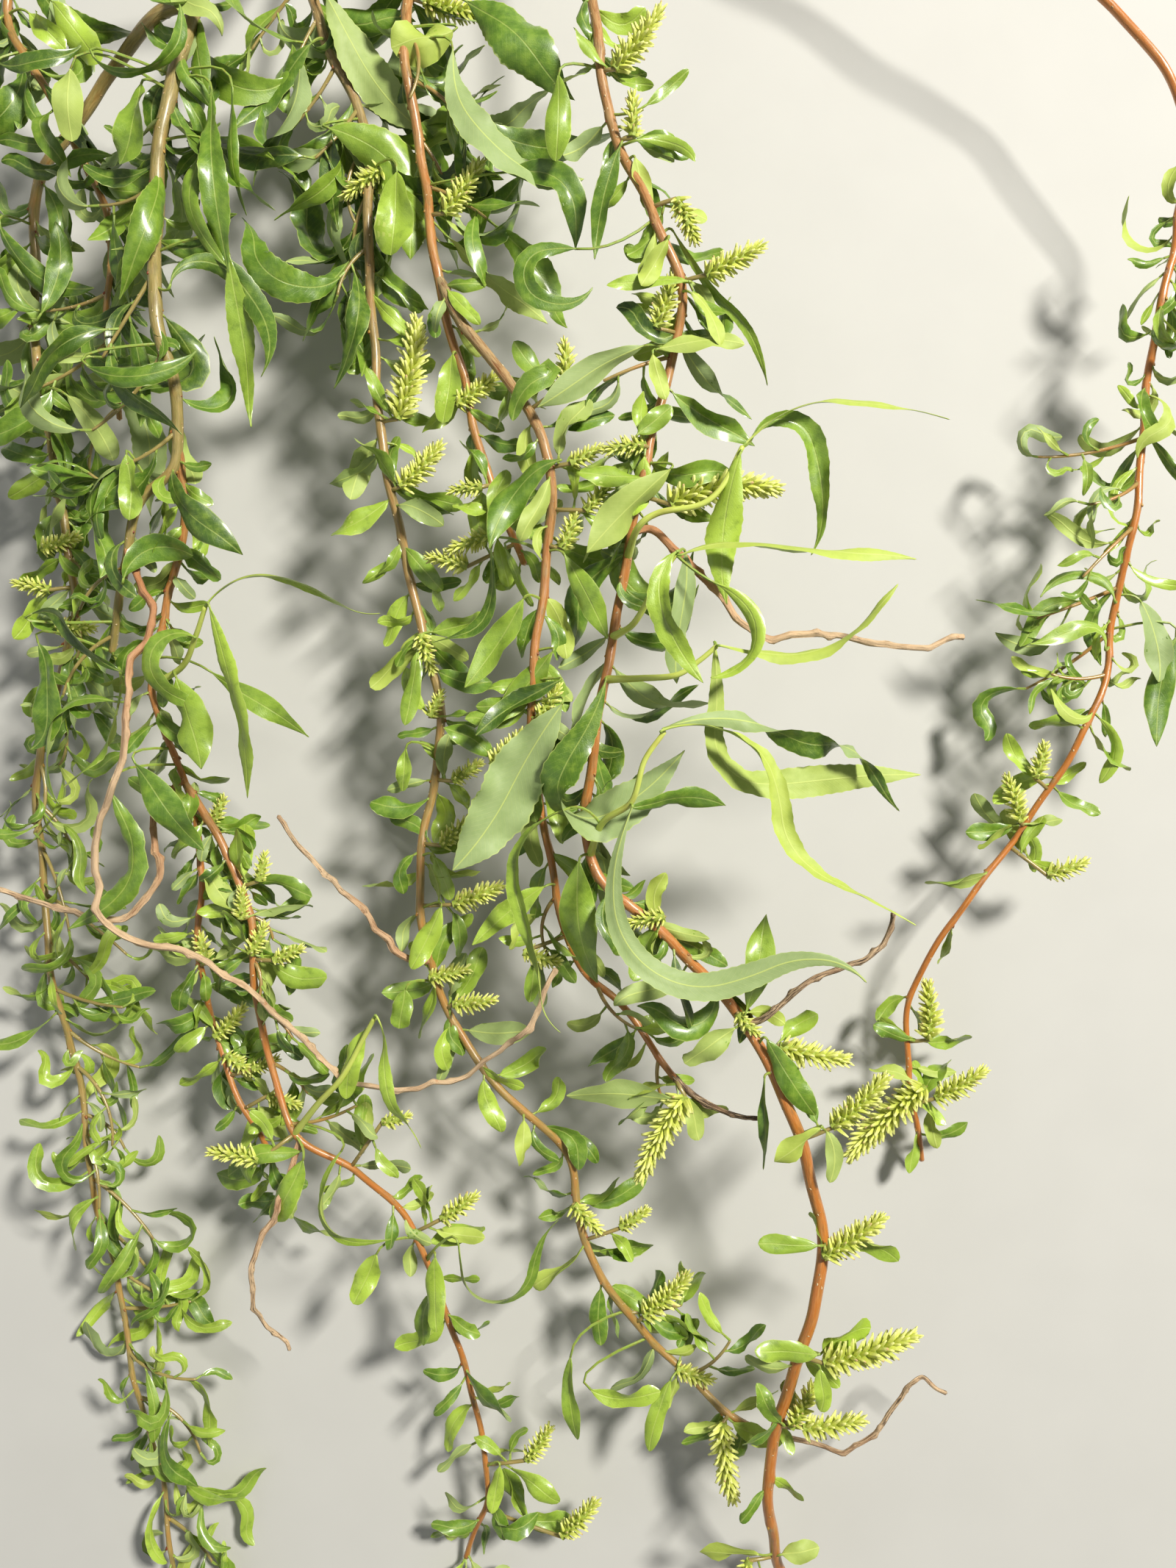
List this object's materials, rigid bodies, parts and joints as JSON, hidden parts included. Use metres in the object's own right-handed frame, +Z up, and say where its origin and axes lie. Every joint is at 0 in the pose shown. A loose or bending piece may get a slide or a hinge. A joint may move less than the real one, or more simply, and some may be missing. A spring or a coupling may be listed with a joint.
{
  "type": "cut corkscrew willow branch",
  "caption": "Cut branch of corkscrew willow lying on its side: a bough that forks into twisted hanging shoots with curled leaves, seed catkins and dry twigs.",
  "frame": {"origin": "on the floor, under the middle of the branch's bounding box", "axes": "+Y along the branch towards the cut end of its bough, +Z up from the floor to the side that faces the viewer"},
  "size_m": [0.4738, 0.8106, 0.1028],
  "materials": {
    "bark": "smooth young bark, orange-brown to olive",
    "dry_wood": "dead twig, dry and ridged",
    "leaf": "glossy green leaf, paler and matt below",
    "young_leaf": "fresh yellow-green leaf and twig",
    "catkin": "matt pale green seed capsules"
  },
  "bodies": {
    "root": {"catkin_far_right_lower": "catkin", "catkin_far_right_upper": "catkin", "catkin_right_fifth": "catkin", "catkin_right_fourth": "catkin", "catkin_right_second": "catkin", "catkin_right_third": "catkin", "catkin_right_upper": "catkin", "centre_limb": "bark", "centre_shoot_lower": "leaf", "centre_shoot_top": "leaf", "cut_bough": "bark", "dry_tip_inner": "dry_wood", "dry_tip_lower": "dry_wood", "dry_twig_hanging": "dry_wood", "dry_twig_left": "dry_wood", "dry_twig_loop_lower": "dry_wood", "dry_twig_loop_upper": "dry_wood", "dry_twig_lower_right": "dry_wood", "dry_twig_middle": "dry_wood", "dry_twig_right": "dry_wood", "far_left_shoot_lower": "leaf", "far_left_shoot_upper": "leaf", "far_right_limb_lower": "bark", "far_right_limb_upper": "bark", "far_right_shoot_lower": "leaf", "far_right_shoot_middle": "leaf", "far_right_shoot_upper": "leaf", "green_spray_left": "young_leaf", "green_spray_low": "young_leaf", "green_spray_main": "young_leaf", "green_spray_rising": "young_leaf", "green_spray_side": "young_leaf", "green_spray_upper": "young_leaf", "inner_shoot_lower": "leaf", "inner_shoot_upper": "leaf", "left_arch_limb": "bark", "left_arch_shoot": "leaf", "left_edge_shoot_lower": "leaf", "left_edge_shoot_upper": "leaf", "left_fork_limb": "bark", "left_shoot_lower": "leaf", "left_shoot_middle": "leaf", "left_shoot_top": "leaf", "low_shoot_middle": "leaf", "low_shoot_tip": "leaf", "low_shoot_upper": "leaf", "lower_left_shoot_lower": "leaf", "lower_left_shoot_upper": "leaf", "middle_limb": "bark", "middle_shoot_lower": "leaf", "middle_shoot_middle": "leaf", "middle_shoot_top": "leaf", "middle_shoot_upper": "leaf", "right_limb": "bark", "right_shoot_lower": "leaf", "right_shoot_middle": "leaf", "right_shoot_tip": "leaf", "right_shoot_top": "leaf", "right_shoot_upper": "leaf"}
  },
  "joints": []
}
